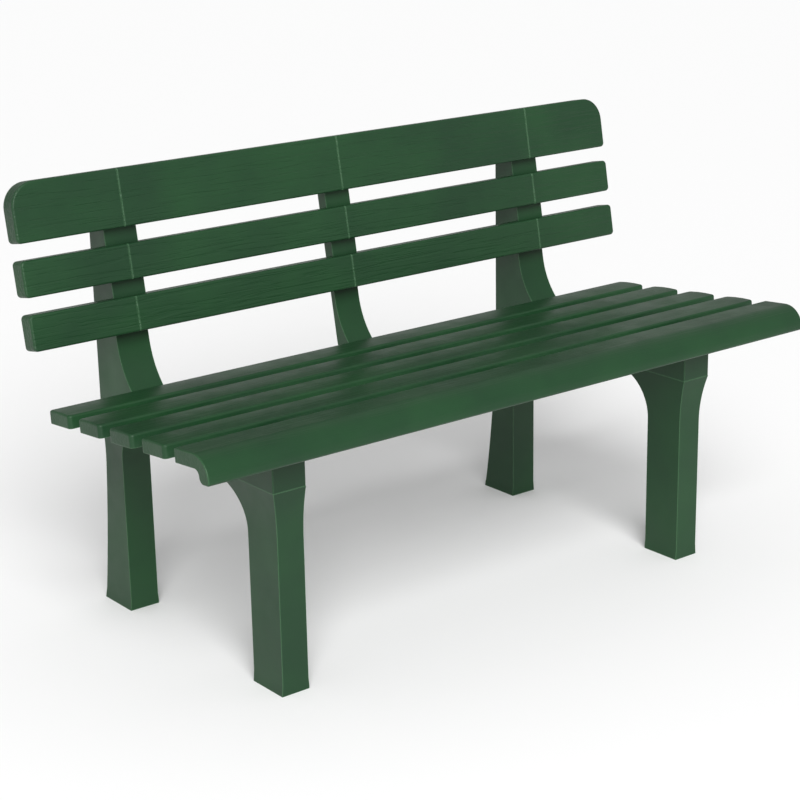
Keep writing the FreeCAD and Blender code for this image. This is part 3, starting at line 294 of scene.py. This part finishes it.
@dataclass(frozen=True)
class ZincPlatedSteel:
    """Bright zinc-plated carbon steel, as on cheap outdoor screws: a soft bluish metal sheen."""

    name: str
    bright: str = "#c3c7cb"
    dull: str = "#aeb3b8"
    roughness: float = 0.34
    glossier_by: float = 0.06
    rougher_by: float = 0.1
    spangle_mm: float = 1.5
    spangle_depth_mm: float = 0.05

    def build(self) -> bpy.types.Material:
        """Make the material.

        Returns:
            The finished material.
        """
        material = new_material(self.name)
        tree = material.node_tree
        place = add_node(tree, "TexCoord").outputs["Object"]
        # Plating crystals take the light at slightly different levels.
        spangle = add_node(tree, "TexVoronoi", inputs={
            "Vector": place, "Scale": 1 / (self.spangle_mm * MM)}).outputs["Distance"]
        tone = add_node(tree, "ValToRGB", inputs={"Fac": spangle})
        fill_ramp(tone, [(0.0, linearise(self.dull)), (1.0, linearise(self.bright))])
        rough = add_node(tree, "MapRange", inputs={
            "Value": spangle, "To Min": self.roughness - self.glossier_by,
            "To Max": self.roughness + self.rougher_by})
        bump = add_node(tree, "Bump", inputs={
            "Strength": 0.2, "Distance": self.spangle_depth_mm * MM, "Height": spangle})
        shader = add_node(tree, "BsdfPrincipled", inputs={
            "Base Color": tone.outputs["Color"], "Metallic": 1.0,
            "Roughness": rough.outputs["Result"], "Normal": bump.outputs["Normal"]})
        add_node(tree, "OutputMaterial", inputs={"Surface": shader.outputs["BSDF"]})
        return material


@dataclass(frozen=True)
class Seams:
    """Fine creases across a back slat's face, one over the middle of each upright."""

    places_mm: tuple[float, ...]
    half_width_mm: float = 1.3
    depth_mm: float = 1.1
    faces_forward: float = -0.5
    cut_tolerance_mm: float = 0.001

    def crease(self, shell: bmesh.types.BMesh) -> None:
        """Press the creases into the slat's broad front face.

        Args:
            shell: The slat's mesh, which is changed.
        """
        forward = (face for face in shell.faces if face.normal.y < self.faces_forward)
        front = max(forward, key=lambda face: face.calc_area())
        inward = -front.normal.copy()
        anchor = front.verts[0].co.copy()
        half = self.half_width_mm * MM
        depth = self.depth_mm * MM
        for middle in (place * MM for place in self.places_mm):
            for cut in (middle - half, middle, middle + half):
                everything = shell.verts[:] + shell.edges[:] + shell.faces[:]
                bmesh.ops.bisect_plane(shell, geom=everything, dist=self.cut_tolerance_mm * MM,
                                       plane_co=(cut, 0, 0), plane_no=(1, 0, 0))
            sunk = [point for point in shell.verts
                    if abs(point.co.x - middle) < WELD_MM * MM and (point.co - anchor).dot(inward) < depth]
            bmesh.ops.translate(shell, verts=sunk, vec=inward * self.depth_mm * MM)


@dataclass
class Moulding:
    """One moulded piece: the frame's own shape, welded, with its corners eased and shaded smooth.

    Angles are in degrees.
    """

    node: str
    slot: str
    edge_mm: float
    bevel_segments: int = 2
    smooth_below: float = 32.0
    flat_within: float = 0.2
    seams: Seams | None = None

    def build(self, material: bpy.types.Material) -> None:
        """Make the piece, and let it stand for its node.

        Args:
            material: The finish of the whole piece.
        """
        piece = place_in_scene(f"{self.node}_moulding", self.shape())
        piece.data.materials.append(material)
        self.ease(piece)
        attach(piece, "root")
        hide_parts(self.node)
        LOG.info("%s: %d faces", piece.name, len(piece.data.polygons))

    def shape(self) -> bpy.types.Mesh:
        """Weld the node's triangles into whole faces, and crease them where there are seams.

        Returns:
            The piece's mesh, with no material yet.
        """
        shell = bmesh.new()
        shell.from_mesh(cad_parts[self.node].data)
        bmesh.ops.remove_doubles(shell, verts=shell.verts, dist=WELD_MM * MM)
        bmesh.ops.dissolve_limit(shell, angle_limit=math.radians(self.flat_within), verts=shell.verts,
                                 edges=shell.edges, use_dissolve_boundaries=False, delimit={"NORMAL"})
        if self.seams:
            self.seams.crease(shell)
        mesh = bpy.data.meshes.new(f"{self.node}_moulding")
        shell.to_mesh(mesh)
        shell.free()
        mesh.materials.clear()
        mesh.polygons.foreach_set("material_index", [0] * len(mesh.polygons))
        mesh.shade_smooth()
        mesh.set_sharp_from_angle(angle=math.radians(self.smooth_below))
        return mesh

    def ease(self, piece: bpy.types.Object) -> None:
        """Round the piece's corners, and shade its broad faces evenly.

        Args:
            piece: The object that gets the modifiers.
        """
        ease = piece.modifiers.new("eased_corners", "BEVEL")
        ease.width = self.edge_mm * MM
        ease.segments = self.bevel_segments
        ease.limit_method = "ANGLE"
        ease.angle_limit = math.radians(self.smooth_below)
        even = piece.modifiers.new("even_shading", "WEIGHTED_NORMAL")
        even.keep_sharp = True


@dataclass
class SlattedSeat:
    """The seat: crowned slats, and the front one that rolls over to a lip."""

    slats: tuple[str, ...] = ("seat_slat_1", "seat_slat_2", "seat_slat_3", "seat_slat_4", "front_seat_slat")
    finish: MouldedPolypropylene = MouldedPolypropylene(
        "moulded_polypropylene_slat", Texture.WOOD_GRAIN)

    def build(self) -> None:
        """Make every seat slat."""
        material = self.finish.build()
        for node in self.slats:
            Moulding(node, "slats", edge_mm=0.5).build(material)


@dataclass
class SlattedBack:
    """The leaning back: three slats with a deeper wood grain, creased over the uprights."""

    slats: tuple[str, ...] = ("lower_back_slat", "middle_back_slat", "top_back_slat")
    uprights: tuple[str, ...] = ("left_bearer", "centre_bearer", "right_bearer")
    finish: MouldedPolypropylene = MouldedPolypropylene(
        "moulded_polypropylene_back_slat", Texture.WOOD_GRAIN, grain_depth_mm=0.6)

    def build(self) -> None:
        """Make every back slat."""
        material = self.finish.build()
        seams = Seams(tuple(middle_x_mm(node) for node in self.uprights))
        for node in self.slats:
            Moulding(node, "slats", edge_mm=0.5, seams=seams).build(material)


@dataclass
class SideSupports:
    """The bearers that carry the slats, and the legs that plug into them."""

    bearers: tuple[str, ...] = ("left_bearer", "centre_bearer", "right_bearer")
    legs: tuple[str, ...] = ("left_front_leg", "left_rear_leg", "right_front_leg", "right_rear_leg")
    finish: MouldedPolypropylene = MouldedPolypropylene("moulded_polypropylene_support")

    def build(self) -> None:
        """Make the bearers and the legs."""
        material = self.finish.build()
        for node in self.bearers:
            Moulding(node, "supports", edge_mm=1.2).build(material)
        for node in self.legs:
            Moulding(node, "legs", edge_mm=2.0, bevel_segments=3).build(material)


@dataclass
class Fasteners:
    """The steel screws, bolts, washers and nuts, which keep the frame's own shapes."""

    nodes: tuple[str, ...] = (
        "seat_slat_screws", "back_slat_screws", "leg_bolts", "leg_bolt_washers", "leg_bolt_nuts")
    finish: ZincPlatedSteel = ZincPlatedSteel("zinc_plated_steel")

    def build(self) -> None:
        """Dress the fasteners."""
        material = self.finish.build()
        for node in self.nodes:
            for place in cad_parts[node].material_slots:
                place.material = material
            LOG.info("%s: dressed", node)


@dataclass
class Studio:
    """A near-white floor, soft lights and the camera, in metres unless a name says otherwise, and degrees.
    """

    floor_reach: float = 40.0
    floor_colour: str = "#f4f4f4"
    glow_strength: float = 0.5
    lit_height: float = 0.4
    camera_place: Place = (-1.9437, -2.4453, 1.3009)
    azimuth: float = 38.7
    drop: float = 17.66
    roll: float = -0.8
    lens_mm: float = 89.47
    sensor_mm: float = 36.0
    shift: tuple[float, float] = (-0.0346, 0.0108)
    sight: float = 200.0

    def build(self) -> None:
        """Set up everything around the bench."""
        self.build_floor()
        self.build_lights()
        self.build_camera()
        bpy.context.scene.view_settings.view_transform = "Standard"

    def build_floor(self) -> None:
        """Lay a plain near-white floor."""
        slab = bmesh.new()
        bmesh.ops.create_grid(slab, x_segments=1, y_segments=1, size=self.floor_reach)
        mesh = bpy.data.meshes.new("floor")
        slab.to_mesh(mesh)
        slab.free()
        floor = place_in_scene("floor", mesh)
        material = new_material("pale_floor")
        tree = material.node_tree
        shader = add_node(tree, "BsdfPrincipled", inputs={
            "Base Color": linearise(self.floor_colour), "Roughness": 0.9, "Specular IOR Level": 0.0})
        add_node(tree, "OutputMaterial", inputs={"Surface": shader.outputs["BSDF"]})
        mesh.materials.append(material)

    def build_lights(self) -> None:
        """Set the room's even glow, a broad key light from the front left and a weak light beside it."""
        world = bpy.data.worlds.new("studio")
        bpy.context.scene.world = world
        world.use_nodes = True
        tree = world.node_tree
        tree.nodes.clear()
        glow = add_node(tree, "Background", inputs={"Color": grey(1.0), "Strength": self.glow_strength})
        add_node(tree, "OutputWorld", inputs={"Surface": glow.outputs["Background"]})
        self.add_light("key", "SUN", (-1.9, -3.4, 3.3), energy=3.0, angle=math.radians(36))
        self.add_light("near_side", "AREA", (-1.9, -2.6, 1.7), energy=16.0, size=1.2)

    def add_light(self, name: str, kind: str, place: Place, **settings: float) -> None:
        """Hang one soft light that faces the bench.

        Args:
            name: The light's name.
            kind: Blender's type of light.
            place: Where it hangs.
            **settings: The light's own properties, such as its energy and size.
        """
        lamp = bpy.data.lights.new(name, kind)
        for setting, amount in settings.items():
            setattr(lamp, setting, amount)
        aim = Vector((0, 0, self.lit_height)) - Vector(place)
        turned = aim.to_track_quat("-Z", "Y").to_matrix().to_4x4()
        place_in_scene(name, lamp).matrix_world = Matrix.Translation(place) @ turned

    def build_camera(self) -> None:
        """Place the camera in front of the bench's left-hand end, looking down."""
        turn, drop, roll = (math.radians(a) for a in (self.azimuth, self.drop, self.roll))
        reach = math.cos(drop)
        forward = Vector((math.sin(turn) * reach, math.cos(turn) * reach, -math.sin(drop)))
        level = forward.cross(Vector((0, 0, 1))).normalized()
        upright = level.cross(forward)
        right = level * math.cos(roll) + upright * math.sin(roll)
        up = upright * math.cos(roll) - level * math.sin(roll)
        lens = bpy.data.cameras.new("camera")
        lens.lens = self.lens_mm
        lens.sensor_width = self.sensor_mm
        lens.shift_x, lens.shift_y = self.shift
        lens.clip_end = self.sight
        camera = place_in_scene("camera", lens)
        turned = Matrix((right, up, -forward)).transposed().to_4x4()
        camera.matrix_world = Matrix.Translation(self.camera_place) @ turned
        bpy.context.scene.camera = camera


def main() -> None:
    """Build the bench's pieces in order, then the studio."""
    logging.basicConfig(level=logging.INFO, format="%(name)s: %(message)s")
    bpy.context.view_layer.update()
    for assembly in (SlattedSeat(), SlattedBack(), SideSupports(), Fasteners(), Studio()):
        assembly.build()
        LOG.info("%s done", type(assembly).__name__)


if __name__ == "__main__":
    main()
